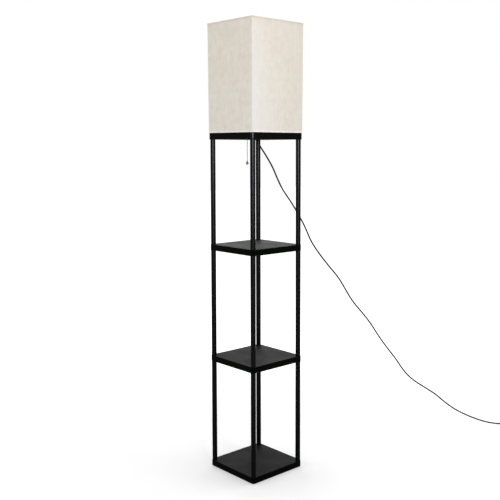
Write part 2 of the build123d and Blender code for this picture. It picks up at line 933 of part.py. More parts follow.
def bend_radii(points):
    """Radius at each inner point: 0.45 of its shorter run over the tangent of half the turn."""
    radii = []
    for before, here, after in zip(points, points[1:], points[2:]):
        run_in = Vector(here) - Vector(before)
        run_out = Vector(after) - Vector(here)
        half_turn = radians(run_in.get_angle(run_out)) / 2
        radii.append(0.45 * min(run_in.length, run_out.length) / tan(half_turn))
    return radii


cord_radii = bend_radii(cord_points)
with BuildPart() as power_cord:
    with BuildLine():
        cord = FilletPolyline(*cord_points, radius=cord_radii)
    with BuildSketch(start_plane(cord)):
        Circle(cord_radius)
    sweep()
save(power_cord.part, "power_cord")
print("cord length", round(cord.length, 1), "bend radii", [round(radius) for radius in cord_radii])
print("cord volume over section times length", power_cord.part.volume / (pi * cord_radius**2 * cord.length))

plug_axis = Vector(cord_points[-1]) - Vector(cord_points[-2])
plug_start = Plane(origin=cord_points[-1], x_dir=Vector(0, 0, 1).cross(plug_axis), z_dir=plug_axis)
with BuildPart() as plug_body:
    for neck_place, neck_radius in ((0, plug_neck_tip), (plug_neck_length, plug_neck_radius)):
        with BuildSketch(plug_start.offset(neck_place)):
            Circle(neck_radius)
    loft()
    with BuildSketch(plug_start.offset(plug_neck_length)):
        RectangleRounded(plug_width, plug_thickness, plug_corner)
    extrude(amount=plug_length)
    back_face = plug_body.faces().filter_by(plug_start).sort_by(Axis(plug_start.origin, plug_start.z_dir))[1]
    fillet(back_face.outer_wire().edges(), radius=plug_edge)
    front_face = plug_body.faces().sort_by(Axis(plug_start.origin, plug_start.z_dir))[-1]
    fillet(front_face.edges(), radius=plug_edge)
save(plug_body.part, "plug_body")

with BuildPart() as plug_blades:
    with BuildSketch(plug_start.offset(plug_neck_length + plug_length)):
        with GridLocations(blade_spacing, 0, 2, 1):
            Rectangle(blade_thickness, blade_width)
    extrude(amount=blade_length)
save(plug_blades.part, "plug_blades")
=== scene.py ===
import json
from math import atan2, cos, hypot, pi, radians, sin

import bmesh
import bpy
import numpy as np
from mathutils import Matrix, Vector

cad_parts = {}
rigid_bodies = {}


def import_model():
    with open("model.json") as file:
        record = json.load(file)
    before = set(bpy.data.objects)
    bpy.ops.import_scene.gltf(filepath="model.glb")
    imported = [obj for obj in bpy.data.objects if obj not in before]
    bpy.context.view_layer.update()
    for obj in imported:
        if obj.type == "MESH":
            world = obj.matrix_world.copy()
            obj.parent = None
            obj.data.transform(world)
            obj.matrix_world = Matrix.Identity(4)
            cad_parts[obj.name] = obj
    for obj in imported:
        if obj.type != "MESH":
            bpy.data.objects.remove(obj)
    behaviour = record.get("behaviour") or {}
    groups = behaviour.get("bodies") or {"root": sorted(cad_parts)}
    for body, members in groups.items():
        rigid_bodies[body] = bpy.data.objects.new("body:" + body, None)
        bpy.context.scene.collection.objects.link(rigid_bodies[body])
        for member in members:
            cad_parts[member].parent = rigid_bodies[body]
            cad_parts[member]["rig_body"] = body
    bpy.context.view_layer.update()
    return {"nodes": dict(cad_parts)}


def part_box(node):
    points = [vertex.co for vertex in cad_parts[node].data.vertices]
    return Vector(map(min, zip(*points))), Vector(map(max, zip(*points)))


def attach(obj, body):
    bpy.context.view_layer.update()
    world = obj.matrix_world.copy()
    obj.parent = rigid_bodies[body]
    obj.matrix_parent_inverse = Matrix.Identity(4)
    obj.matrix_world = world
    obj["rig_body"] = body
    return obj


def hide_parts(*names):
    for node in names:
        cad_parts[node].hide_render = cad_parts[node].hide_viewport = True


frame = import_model()
print("frame loaded:", len(frame["nodes"]), "nodes")

scene = bpy.context.scene
mm = 0.001


# camera

cameraSet = {
    "place": (2.08955, -1.84101, 1.16214),  # metres
    "azimuth": 46.827,  # degrees, from straight in front towards the right
    "elevation": 4.519,
    "focalPixels": 780.52,  # focal length in pixels of the picture
    "centrePixel": (280, 210),  # where the lens axis meets the picture
    "pictureSide": 500,
}


def addCamera(s):
    # lens and shifts follow from a focal length and a lens axis given in pixels
    side = s["pictureSide"]
    data = bpy.data.cameras.new("viewCamera")
    data.lens = s["focalPixels"] / side * data.sensor_width
    data.shift_x = (side / 2 - s["centrePixel"][0]) / side
    data.shift_y = (s["centrePixel"][1] - side / 2) / side
    camera = bpy.data.objects.new("viewCamera", data)
    camera.location = s["place"]
    camera.rotation_euler = (radians(90 - s["elevation"]), 0, radians(s["azimuth"]))
    scene.collection.objects.link(camera)
    scene.camera = camera


addCamera(cameraSet)
print("camera placed")


# meshes from grids of points


def link(name, mesh, material, body="lamp", nodes=()):
    # every piece is linked, finished and given to its body in one place
    piece = bpy.data.objects.new(name, mesh)
    scene.collection.objects.link(piece)
    mesh.materials.append(material)
    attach(piece, body)
    if nodes:
        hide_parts(*nodes)
    return piece


def gridMesh(name, grid, closedU=True, closedV=False, flatEnds=True, uvSize=None, sharp=None):
    # surface through grid[i, j]: i runs round it, j along it; quads join neighbours, n-gons close flat ends
    rows, columns = grid.shape[:2]
    i, j = np.meshgrid(np.arange(rows - (not closedU)), np.arange(columns - (not closedV)), indexing="ij")
    cornerI = np.stack([i, i + 1, i + 1, i], -1).reshape(-1, 4)
    cornerJ = np.stack([j, j, j + 1, j + 1], -1).reshape(-1, 4)
    faces = ((cornerI % rows) * columns + cornerJ % columns).tolist()
    if closedU and flatEnds and not closedV:
        ring = np.arange(rows) * columns
        faces += [ring[::-1].tolist(), (ring + columns - 1).tolist()]
    mesh = bpy.data.meshes.new(name)
    mesh.from_pydata(grid.reshape(-1, 3).tolist(), [], faces)
    if uvSize:
        layer = mesh.uv_layers.new(name="cloth")
        uv = np.zeros((len(mesh.loops), 2))
        quads = cornerI.size
        uv[:quads, 0] = cornerI.reshape(-1) / (rows - (not closedU)) * uvSize[0]
        uv[:quads, 1] = cornerJ.reshape(-1) / (columns - (not closedV)) * uvSize[1]
        layer.data.foreach_set("uv", uv.ravel())
    outward(mesh)
    mesh.shade_smooth()
    if sharp:
        mesh.set_sharp_from_angle(angle=radians(sharp))
    return mesh


def outward(mesh):
    # a closed mesh whose signed volume comes out negative is turned over
    work = bmesh.new()
    work.from_mesh(mesh)
    if work.calc_volume(signed=True) < 0:
        bmesh.ops.reverse_faces(work, faces=work.faces)
        work.to_mesh(mesh)
    work.free()


def turned(profile, centre=(0, 0), steps=64):
    # surface of revolution round a vertical axis: (radius, height) carried round a full turn
    profile = np.array(profile, float)
    angle = np.arange(steps) / steps * 2 * pi
    grid = np.empty((steps, len(profile), 3))
    grid[..., 0] = centre[0] + np.cos(angle)[:, None] * profile[:, 0]
    grid[..., 1] = centre[1] + np.sin(angle)[:, None] * profile[:, 0]
    grid[..., 2] = profile[:, 1]
    return grid


def squarePath(side, radius, arcSteps=10, straightSteps=1):
    # round a square with round corners: corner centres moved along the sides, and the outward normal there
    along = side / 2 - radius
    centres, normals = [], []
    for turn in range(4):
        start = turn * pi / 2
        arc = start + np.linspace(0, pi / 2, arcSteps + 1)
        corner = np.array([cos(start + pi / 4), sin(start + pi / 4)]) * along * 2**0.5
        centres.append(np.repeat(corner[None], arcSteps + 1, 0))
        normals.append(np.stack([np.cos(arc), np.sin(arc)], -1))
        if straightSteps > 1:
            share = np.arange(1, straightSteps)[:, None] / straightSteps
            onward = np.array([cos(start + 3 * pi / 4), sin(start + 3 * pi / 4)]) * along * 2**0.5
            centres.append(corner * (1 - share) + onward * share)
            normals.append(np.repeat(normals[-1][-1:], straightSteps - 1, 0))
    return np.concatenate(centres), np.concatenate(normals)


def squareSweep(side, radius, profile, **steps):
    # a profile of (distance inside the square's face, height) carried round a square with round corners
    profile = np.array(profile, float)
    centres, normals = squarePath(side, radius, **steps)
    reach = radius - profile[:, 0]
    grid = np.empty((len(centres), len(profile), 3))
    grid[..., :2] = centres[:, None, :] + normals[:, None, :] * reach[None, :, None]
    grid[..., 2] = profile[:, 1]
    return grid


def roundEdge(inset, height, radius, fromSide, steps=6):
    # quarter circle between a flat face and a wall: inset and height are those of the sharp corner
    turn = np.linspace(0, pi / 2, steps + 1)
    across = inset + radius * (1 - np.sin(turn))
    up = height - radius * (1 - np.cos(turn))
    points = np.stack([across, up], -1)
    return points if fromSide == "face" else points[::-1]


def smoothCopy(node, material, bevel=0, sharp=35):
    # a CAD piece with its loose triangles joined, so that its round faces shade smoothly
    mesh = frame["nodes"][node].data.copy()
    mesh.name = node + "Finish"
    work = bmesh.new()
    work.from_mesh(mesh)
    bmesh.ops.remove_doubles(work, verts=work.verts, dist=1e-6)
    work.to_mesh(mesh)
    work.free()
    mesh.materials.clear()
    mesh.shade_smooth()
    mesh.set_sharp_from_angle(angle=radians(sharp))
    body = frame["nodes"][node]["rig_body"]
    piece = link(node + "Finish", mesh, material, body, [node])
    if bevel:
        edge = piece.modifiers.new("softEdge", "BEVEL")
        edge.width = bevel
        edge.segments = 2
        edge.limit_method = "ANGLE"
        edge.angle_limit = radians(40)
    return piece


# materials


def scaled(colour, factor):
    # a colour made darker or lighter by one factor
    return tuple(part * factor for part in colour)


class Nodes:
    # short names for building one material's nodes
    def __init__(self, name, colour, roughness, metallic=0.0, specular=0.5):
        self.material = bpy.data.materials.new(name)
        self.material.use_nodes = True
        self.tree = self.material.node_tree
        self.shader = self.tree.nodes["Principled BSDF"]
        self.set("Base Color", (*colour, 1))
        self.set("Roughness", roughness)
        self.set("Metallic", metallic)
        self.set("Specular IOR Level", specular)

    def set(self, socket, value):
        self.shader.inputs[socket].default_value = value

    def add(self, kind):
        return self.tree.nodes.new(kind)

    def join(self, start, end):
        self.tree.links.new(start, end)

    def coordinates(self, kind="Object", scale=(1, 1, 1)):
        place = self.add("ShaderNodeTexCoord")
        mapping = self.add("ShaderNodeMapping")
        mapping.inputs["Scale"].default_value = scale
        self.join(place.outputs[kind], mapping.inputs["Vector"])
        return mapping.outputs["Vector"]

    def noise(self, vector, scale, detail=2.0, roughness=0.5):
        node = self.add("ShaderNodeTexNoise")
        node.inputs["Scale"].default_value = scale
        node.inputs["Detail"].default_value = detail
        node.inputs["Roughness"].default_value = roughness
        self.join(vector, node.inputs["Vector"])
        return node.outputs["Fac"]

    def span(self, value, low, high, fromLow=0.3, fromHigh=0.7):
        node = self.add("ShaderNodeMapRange")
        ends = {"From Min": fromLow, "From Max": fromHigh, "To Min": low, "To Max": high}
        for name, number in ends.items():
            node.inputs[name].default_value = number
        self.join(value, node.inputs["Value"])
        return node.outputs["Result"]

    def maths(self, operation, first, second):
        node = self.add("ShaderNodeMath")
        node.operation = operation
        for socket, value in zip(node.inputs, (first, second)):
            if isinstance(value, (int, float)):
                socket.default_value = value
            else:
                self.join(value, socket)
        return node.outputs["Value"]

    def mix(self, share, first, second):
        node = self.add("ShaderNodeMix")
        node.data_type = "RGBA"
        for socket, value in zip((node.inputs[6], node.inputs[7]), (first, second)):
            if isinstance(value, tuple):
                socket.default_value = (*value, 1)
            else:
                self.join(value, socket)
        if isinstance(share, float):
            node.inputs[0].default_value = share
        else:
            self.join(share, node.inputs[0])
        return node.outputs[2]

    def bump(self, height, strength, distance):
        node = self.add("ShaderNodeBump")
        node.inputs["Strength"].default_value = strength
        node.inputs["Distance"].default_value = distance
        self.join(height, node.inputs["Height"])
        self.join(node.outputs["Normal"], self.shader.inputs["Normal"])

    def colour(self, value):
        self.join(value, self.shader.inputs["Base Color"])

    def rough(self, value):
        self.join(value, self.shader.inputs["Roughness"])


def satinPaint(name="satinBlackPaint", colour=(0.0010, 0.0013, 0.0010), grain=1.0, specular=0.08):
    # sprayed board: faint grain under the paint, slightly uneven gloss
    m = Nodes(name, colour, 0.62, specular=specular)
    grainLines = m.noise(m.coordinates(scale=(6, 90, 90)), 12, 4, 0.6)
    peel = m.noise(m.coordinates(), 900, 2)
    m.set("Specular Tint", (1.0, 1.0, 0.95, 1))
    m.rough(m.span(m.noise(m.coordinates(), 18, 3), 0.58, 0.66))
    m.colour(m.mix(m.span(grainLines, 0, 1), colour, scaled(colour, 1.5)))
    height = m.maths("ADD", m.maths("MULTIPLY", grainLines, grain), m.maths("MULTIPLY", peel, 0.25))
    m.bump(height, 0.25, 0.0002)
    return m.material


def powderCoat(name):
    # fine orange peel of a powder-coated tube, cool black
    m = Nodes(name, (0.0009, 0.0011, 0.0015), 0.28, specular=0.036)
    m.set("Specular Tint", (0.86, 0.90, 1.0, 1))
    peel = m.noise(m.coordinates(), 1400, 2, 0.6)
    m.rough(m.span(m.noise(m.coordinates(scale=(1, 1, 0.3)), 30, 3), 0.25, 0.31))
    m.bump(peel, 0.006, 0.00005)
    return m.material


linenSet = {
    "warm": (0.808, 0.742, 0.655),  # upper part, a little pink
    "pale": (0.822, 0.803, 0.730),  # lower part, nearer to grey
    "paleReach": 0.38,  # metres above the foot where the last of it ends
    "paintedHighlight": (0.828, 0.822, 0.802),  # painted highlight: the paler, greyer band just past the front corner
    "frontCorner": 0.716,  # metres round the cloth, at the front corner
    "highlightWidth": (0.165, 0.085),  # metres past that corner, at the foot and at the top
    "highlightFull": 0.01,  # metres past that corner before it fades
    "highlightHeight": 0.383,
    "farShadeReach": (0.80, 0.94),  # metres round the cloth, where painted shade darkens that side
    "slub": (0.55, 0.50, 0.43),  # thick upright threads
    "weft": (0.62, 0.57, 0.49),  # thick level threads
    "gap": (0.5, 0.46, 0.40),  # painted shade between the threads
    "warpPitch": 0.00075,  # metres between upright threads
    "weftPitch": 0.0009,
    "noises": {  # how often it changes in a metre, across and up, then its detail and roughness
        "upright": (900, 26, 3, 0.6),
        "level": (30, 700, 3, 0.6),
        "streaks": (160, 5, 3, 0.65),
        "cloud": (17, 12, 4, 0.6),
        "mottle": (46, 34, 3, 0.65),
    },
}
bottomHemSet = dict(linenSet, warm=(0.86, 0.84, 0.78), pale=(0.87, 0.86, 0.81))
topHemSet = dict(linenSet, warm=(0.76, 0.71, 0.62), pale=(0.76, 0.71, 0.62))


def threads(m, direction, pitch):
    # parallel threads: bands of a wave, a little uneven
    wave = m.add("ShaderNodeTexWave")
    wave.wave_type = "BANDS"
    wave.bands_direction = direction
    bandPitch = 0.157  # metres from band to band at a scale of 1
    settings = {"Scale": bandPitch / pitch, "Distortion": 1.2, "Detail": 1, "Detail Scale": 0.6}
    for socket, value in settings.items():
        wave.inputs[socket].default_value = value
    m.join(m.coordinates("UV"), wave.inputs["Vector"])
    return wave.outputs["Fac"]


def linen(name, s, slubShare=1.0, highlightShare=1.0):
    # plain weave with uneven upright threads: colour and height come from the same threads
    m = Nodes(name, s["warm"], 0.92, specular=0.05)
    m.set("Sheen Weight", 0.2)
    m.set("Sheen Roughness", 0.5)
    weave = m.maths("ADD", threads(m, "X", s["warpPitch"]), threads(m, "Y", s["weftPitch"]))
    weave = m.maths("MULTIPLY", weave, 0.5)
    uneven = {}
    for key, (across, up, detail, roughness) in s["noises"].items():
        uneven[key] = m.noise(m.coordinates("UV", scale=(across, up, 1)), 1, detail, roughness)
    split = m.add("ShaderNodeSeparateXYZ")
    m.join(m.coordinates("UV"), split.inputs[0])
    along, up = split.outputs["X"], split.outputs["Y"]
    # the cloth turns from warm to pale towards its foot, with cloudy borders and darker streaks
    patches = m.maths("ADD", m.span(up, 0.75, -0.05, 0, s["paleReach"]), m.span(uneven["cloud"], -0.6, 0.6))
    tone = m.mix(m.span(patches, 0, 1, 0, 1), s["warm"], s["pale"])
    streaks = m.span(uneven["streaks"], 0, 0.6, 0.35, 0.7)
    tone = m.mix(streaks, tone, m.mix(0.5, tone, scaled(s["warm"], 0.80)))
    # painted shade: the side past the front corner turns darker far round, and mottling goes over all of it
    pastCorner = m.maths("GREATER_THAN", along, s["frontCorner"])
    far = m.maths("MULTIPLY", pastCorner, m.span(along, 0, 0.34, *s["farShadeReach"]))
    tone = m.mix(far, tone, scaled(s["warm"], 0.86))
    mottle = m.span(uneven["mottle"], 0, 0.8, 0.40, 0.72)
    tone = m.mix(mottle, tone, scaled(s["warm"], 0.85))
    # the painted highlight is a pale wedge over that mottling, which fades out sooner and is weaker towards
    # the top
    wide, narrow = s["highlightWidth"]
    lean = m.maths("MULTIPLY", up, (wide - narrow) / s["highlightHeight"])
    fade = m.span(m.maths("ADD", along, lean), 1, 0, s["frontCorner"] + s["highlightFull"], s["frontCorner"] + wide)
    paintedHighlight = m.maths("MULTIPLY", m.maths("MULTIPLY", pastCorner, fade), highlightShare)
    tone = m.mix(paintedHighlight, tone, s["paintedHighlight"])
    # thick threads, and painted shade between all threads
    slubs = m.maths("MULTIPLY", m.span(uneven["upright"], 0.6, 0, 0.25, 0.7), slubShare)
    tone = m.mix(slubs, tone, m.mix(0.5, tone, s["slub"]))
    wefts = m.maths("MULTIPLY", m.span(uneven["level"], 0, 0.25, 0.35, 0.8), slubShare)
    tone = m.mix(wefts, tone, s["weft"])
    m.colour(m.mix(m.span(weave, 0.22, 0, 0.05, 0.4), tone, s["gap"]))
    slubHeight = m.maths("MULTIPLY", uneven["upright"], 0.6 * slubShare)
    m.bump(m.maths("ADD", m.maths("MULTIPLY", weave, 0.6), slubHeight), 0.5, 0.0003)
    return m.material


def sheetPlastic():
    # plastic sheet behind the fabric
    m = Nodes("shadeLinerStyrene", (0.84, 0.82, 0.77), 0.45, specular=0.4)
    m.set("Subsurface Weight", 0.1)
    m.set("Subsurface Radius", (0.004, 0.0035, 0.003))
    m.rough(m.span(m.noise(m.coordinates(), 60, 2), 0.4, 0.5))
    m.bump(m.noise(m.coordinates(), 350, 2), 0.05, 0.0002)
    return m.material


def metal(name, colour, roughness, stretch=(1, 1, 1), scale=600):
    # plated or drawn metal: fine marks along one direction and cloudy gloss
    m = Nodes(name, colour, roughness, 1.0)
    marks = m.noise(m.coordinates(scale=stretch), scale, 3, 0.6)
    cloud = m.noise(m.coordinates(), 90, 2)
    wear = 0.06  # how far the marks change the gloss
    worn = m.span(marks, roughness - wear, roughness + wear)
    m.rough(m.maths("ADD", worn, m.maths("MULTIPLY", cloud, 0.04)))
    m.colour(m.mix(m.span(cloud, 0, 1), colour, scaled(colour, 0.86)))
    m.bump(marks, 0.06, 0.0001)
    return m.material


def moulded(name, colour, roughness, texture=0.08):
    # moulded plastic with a fine spark-eroded texture
    m = Nodes(name, colour, roughness)
    spark = m.noise(m.coordinates(), 1500, 2, 0.6)
    m.rough(m.span(m.noise(m.coordinates(), 70, 2), roughness - 0.05, roughness + 0.05))
    m.colour(m.mix(m.span(spark, 0, 1), colour, scaled(colour, 1.12)))
    m.bump(spark, texture, 0.0002)
    return m.material


def opalPlastic():
    # milky plastic that lets light in a little
    m = Nodes("opalDiffuser", (0.86, 0.86, 0.84), 0.38)
    m.set("Subsurface Weight", 0.35)
    m.set("Subsurface Radius", (0.01, 0.01, 0.01))
    m.bump(m.noise(m.coordinates(), 1200, 2), 0.05, 0.0001)
    return m.material


def porcelain():
    # bare fired clay, faintly clouded
    m = Nodes("unglazedPorcelain", (0.78, 0.76, 0.71), 0.7, specular=0.4)
    cloud = m.span(m.noise(m.coordinates(), 150, 3), 0, 1)
    m.colour(m.mix(cloud, (0.80, 0.78, 0.73), (0.70, 0.68, 0.62)))
    m.bump(m.noise(m.coordinates(), 800, 3), 0.15, 0.0002)
    return m.material


def cordJacket():
    # soft black jacket with the faint twist of the cores showing through
    m = Nodes("cordJacket", (0.006, 0.006, 0.0065), 0.5, specular=0.15)
    twist = m.add("ShaderNodeTexWave")
    twist.wave_type = "BANDS"
    twist.bands_direction = "DIAGONAL"
    twist.inputs["Scale"].default_value = 9
    m.join(m.coordinates("UV", scale=(60, 1, 1)), twist.inputs["Vector"])
    fine = m.noise(m.coordinates(), 1600, 2)
    m.rough(m.span(m.noise(m.coordinates(), 60, 2), 0.38, 0.52))
    m.bump(m.maths("ADD", m.maths("MULTIPLY", twist.outputs["Fac"], 0.3), fine), 0.08, 0.0002)
    return m.material


def padRubber():
    # rough black rubber
    m = Nodes("padRubber", (0.03, 0.03, 0.03), 0.85, specular=0.3)
    m.bump(m.noise(m.coordinates(), 1800, 4, 0.7), 0.6, 0.0004)
    return m.material


finish = {
    "paint": satinPaint(),
    # painted shade: a darker, less glossy copy of the board paint for the upright faces
    "shadedEdgePaint": satinPaint("shadedEdgeBlackPaint", (0.0007, 0.0010, 0.0007), 0.6, 0.014),
    "cornerPaint": powderCoat("cornerBlackPaint"),
    "tube": powderCoat("tubePowderCoat"),
    "linen": linen("shadeLinen", linenSet),
    "bottomHem": linen("bottomHemLinen", bottomHemSet, slubShare=0.4, highlightShare=0),
    "topHem": linen("topHemLinen", topHemSet, slubShare=0.4, highlightShare=0),
    "liner": sheetPlastic(),
    "zinc": metal("zincPlatedSteel", (0.42, 0.43, 0.45), 0.36),
    "nickel": metal("nickelChain", (0.17, 0.167, 0.155), 0.25, scale=1500),
    "brass": metal("plainBrass", (0.72, 0.53, 0.24), 0.3),
    "aluminium": metal("pressedAluminium", (0.78, 0.78, 0.77), 0.28, (1, 1, 6)),
    "whiteWire": moulded("whiteCoatedWire", (0.72, 0.71, 0.68), 0.4),
    "blackPlastic": moulded("mattBlackMoulding", (0.014, 0.014, 0.015), 0.42),
    "whitePlastic": moulded("mattWhiteMoulding", (0.80, 0.80, 0.78), 0.4),
    "blackGlass": moulded("blackInsulator", (0.01, 0.01, 0.012), 0.15, 0.0),
    "opal": opalPlastic(),
    "porcelain": porcelain(),
    "cord": cordJacket(),
    "pad": padRubber(),
}
print("materials made:", len(finish))


# supply cord, made first: the plug below is placed at its last points

cordSet = {
    "radius": 0.003,
    "length": 1.8,  # metres, from the strain relief to the plug
    "points": [  # millimetres, the route of the cord's tube
        (-128.5, 84, 1204.5),
        (-128.5, 100, 1204.5),
        (-127, 117, 1194),
        (-121, 131, 1168),
        (-111, 150, 1136),
        (-98, 173, 1091),
        (-90, 187, 1052),
        (-79, 206, 1005),
        (-62, 236, 957),
        (-46, 266, 901),
        (-33, 289, 850),
        (-24, 306, 803),
        (-7, 336, 752),
        (11, 370, 704),
        (32, 406, 655),
        (45, 430, 609),
        (60, 456, 559),
        (79, 490, 514),
        (98, 524, 466),
        (113, 550, 418),
        (130, 582, 368),
        (150, 618, 317),
        (168, 650, 262),
        (186, 683, 224),
        (212, 728, 189),
        (235, 772, 157),
        (256, 808, 120),
        (280, 851, 83),
        (308, 902, 52),
        (335, 950, 28),
        (360, 995, 11),
        (384, 1038, 3.1),
        (401, 1069, 3.1),
        (409, 1100, 4.1),
        (407, 1132, 7.5),
        (398, 1160, 7.5),
    ],
}


def addCord(s):
    # a round tube along a smooth curve that follows the points
    curve = bpy.data.curves.new("supplyCord", "CURVE")
    curve.dimensions = "3D"
    spline = curve.splines.new("NURBS")
    spline.points.add(len(s["points"]) - 1)
    for point, (x, y, z) in zip(spline.points, s["points"]):
        point.co = (x * mm, y * mm, z * mm, 1)
    spline.order_u = 3
    spline.use_endpoint_u = True
    curve.resolution_u = 8
    curve.bevel_depth = s["radius"]
    curve.bevel_resolution = 4
    curve.use_fill_caps = True
    cord = bpy.data.objects.new("supplyCord", curve)
    scene.collection.objects.link(cord)
    curve.materials.append(finish["cord"])
    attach(cord, "lamp")
    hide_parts("power_cord")
    return cord


supplyCord = addCord(cordSet)

# strain relief: a ribbed boot that leaves the frame sideways, turns along it and tapers to the cord

bootSet = {  # millimetres
    "start": (-107.5, 53, 1204.5),  # middle of the neck's inner end
    "neckRadius": 4.4, "neckLength": 12, "flangeRadius": 7, "flange": 2,
    "bodyRadius": 4.8, "tipRadius": 3.8, "bend": 7, "taper": 24,
    "ribPitch": 3.2, "ribDepth": 0.45, "plainStart": 0.5, "plainEnd": 3,
    "neckRows": 24, "rows": 120, "sides": 40,
}


def bootGrid(s):
    # a circle carried along straight, quarter turn and straight; its radius is a taper less a cosine for ribs
    startX, startY, height = s["start"]
    turnStart = s["neckLength"] + s["flange"]
    turnEnd = turnStart + s["bend"] * pi / 2
    total = turnEnd + s["taper"]
    neck = np.linspace(0, turnStart, s["neckRows"])
    along = np.concatenate([neck, np.linspace(turnStart, total, s["rows"])[1:]])
    angle = np.clip((along - turnStart) / s["bend"], 0, pi / 2)
    after = np.clip(along - turnEnd, 0, s["taper"])
    x = startX - np.minimum(along, turnStart) - s["bend"] * np.sin(angle)
    y = startY + s["bend"] * (1 - np.cos(angle)) + after
    radius = s["bodyRadius"] + (s["tipRadius"] - s["bodyRadius"]) * after / s["taper"]
    ribs = 0.5 - 0.5 * np.cos(2 * pi * (along - turnStart) / s["ribPitch"])
    ribbed = (along > turnStart + s["plainStart"]) & (along < total - s["plainEnd"])
    radius = np.where(ribbed, radius - s["ribDepth"] * ribs, radius)
    radius = np.where(along < s["neckLength"], s["neckRadius"], radius)
    flange = (along >= s["neckLength"]) & (along <= turnStart)
    rim = 1 - np.abs((along - s["neckLength"]) / s["flange"] * 2 - 1) ** 6
    radius = np.where(flange, s["bodyRadius"] + (s["flangeRadius"] - s["bodyRadius"]) * rim, radius)
    aside = np.stack([np.sin(angle), np.cos(angle), np.zeros_like(angle)], -1)
    turn = np.arange(s["sides"])[:, None, None] / s["sides"] * 2 * pi
    centre = np.stack([x, y, np.full_like(x, height)], -1)
    ring = np.cos(turn) * aside + np.sin(turn) * np.array([0, 0, 1])
    return (centre + ring * radius[:, None]) * mm


bootMesh = gridMesh("cordBoot", bootGrid(bootSet), sharp=60)
boot = link("cordBoot", bootMesh, finish["cord"], "lamp", ["strain_relief"])

# plug: a rounded block with finger grooves, a ribbed neck and two flat blades

plugSet = {  # millimetres
    "width": 24, "thickness": 15, "length": 34, "neckLength": 14, "neckTip": 3.8, "neckRadius": 5,
    "shoulder": 4, "nose": 1.5, "squareness": 4.5,
    "grooves": 5, "grooveDepth": 0.5, "gripStart": 8, "gripLength": 16,
    "ribPitch": 2.8, "ribDepth": 0.35, "plainNeck": 2,
    "rows": {"neck": 40, "shoulder": 10, "body": 60, "nose": 6}, "sides": 48,
}


def plugGrid(s):
    # superellipse sections along the plug's axis, whose power rises from a circle's to a soft rectangle's
    tail, end = (np.array(point, float) for point in cordSet["points"][-2:])
    forward = (end - tail) / np.linalg.norm(end - tail)
    aside, upward = np.array([forward[1], -forward[0], 0]), np.array([0, 0, 1])
    bodyStart, total = s["neckLength"], s["neckLength"] + s["length"]
    noseStart = total - s["nose"]
    quarters = {key: np.linspace(0, pi / 2, s["rows"][key])[1:] for key in ("shoulder", "nose")}
    along = np.concatenate([
        np.linspace(0, bodyStart, s["rows"]["neck"]),
        bodyStart + s["shoulder"] * (1 - np.cos(quarters["shoulder"])),
        np.linspace(bodyStart + s["shoulder"], noseStart, s["rows"]["body"])[1:],
        noseStart + s["nose"] * np.sin(quarters["nose"]),
    ])
    inNeck = along <= bodyStart
    neckSize = s["neckTip"] + (s["neckRadius"] - s["neckTip"]) * along / bodyStart
    ribs = 0.5 - 0.5 * np.cos(2 * pi * along / s["ribPitch"])
    neckSize = neckSize - s["ribDepth"] * ribs * (along > s["plainNeck"])
    rise = np.clip((along - bodyStart) / s["shoulder"], 0, 1)
    rise = np.sqrt(1 - (1 - rise) ** 2)
    fall = np.clip((along - noseStart) / s["nose"], 0, 1)
    fall = s["nose"] * (1 - np.sqrt(np.clip(1 - fall**2, 0, 1)))
    half = []
    for full in (s["width"] / 2, s["thickness"] / 2):
        half.append(np.where(inNeck, neckSize, s["neckRadius"] + (full - s["neckRadius"]) * rise - fall))
    grip = np.clip((along - bodyStart - s["gripStart"]) / s["gripLength"], 0, 1)
    groove = s["grooveDepth"] * np.sin(pi * grip * s["grooves"]) ** 2 * (grip > 0) * (grip < 1)
    power = np.where(inNeck, 2, 2 + (s["squareness"] - 2) * rise)
    turn = np.arange(s["sides"])[:, None] / s["sides"] * 2 * pi
    across, up = np.cos(turn), np.sin(turn)
    stretch = (np.abs(across) ** power + np.abs(up) ** power) ** (-1 / power)
    wide = (across * stretch * (half[0] - groove))[..., None]
    tall = (up * stretch * half[1])[..., None]
    return (end + forward * along[:, None] + aside * wide + upward * tall) * mm


plugMesh = gridMesh("plugBody", plugGrid(plugSet), sharp=50)
plug = link("plugBody", plugMesh, finish["cord"], "lamp", ["plug_body"])
blades = smoothCopy("plug_blades", finish["nickel"], 0.0003)
print("cord, boot and plug made")


# boards: base and two shelves

boardSet = {
    "side": 0.235, "corner": 0.010, "edge": 0.0015, "flatRing": 0.0006, "arcSteps": 14,
    "edgeTilt": 0.6,  # a face with less upward direction than this belongs to the edge
}


def boardGrid(s, low, high):
    # flat, quarter round, wall, quarter round, flat, carried round the board's outline
    top = roundEdge(0, high, s["edge"], "face")
    bottom = roundEdge(0, -low, s["edge"], "side") * (1, -1)
    ring = s["edge"] + s["flatRing"]
    profile = np.concatenate([[(ring, high)], top, bottom, [(ring, low)]])
    return squareSweep(s["side"], s["corner"], profile, arcSteps=s["arcSteps"])


def paintEdge(mesh, s, glossyCorners=False):
    # the edge is every face whose direction is nearly level; its round corners lie far out along both axes
    count = len(mesh.polygons)
    normals, centres = np.empty(count * 3), np.empty(count * 3)
    mesh.polygons.foreach_get("normal", normals)
    mesh.polygons.foreach_get("center", centres)
    level = np.abs(normals.reshape(-1, 3)[:, 2]) < s["edgeTilt"]
    farOut = np.abs(centres.reshape(-1, 3)[:, :2]).min(1) > s["side"] / 2 - s["corner"]
    corner = farOut & glossyCorners
    # painted shade: the upright faces take the darker, less glossy copy of the paint
    mesh.materials.append(finish["shadedEdgePaint"])
    if glossyCorners:
        mesh.materials.append(finish["cornerPaint"])
    mesh.polygons.foreach_set("material_index", (level * (1 + corner)).astype(np.int32))


for node in ("base_shelf", "lower_shelf", "upper_shelf"):
    low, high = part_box(node)
    mesh = gridMesh(node + "Board", boardGrid(boardSet, low.z, high.z))
    link(node + "Board", mesh, finish["paint"], "lamp", [node])
    paintEdge(mesh, boardSet)

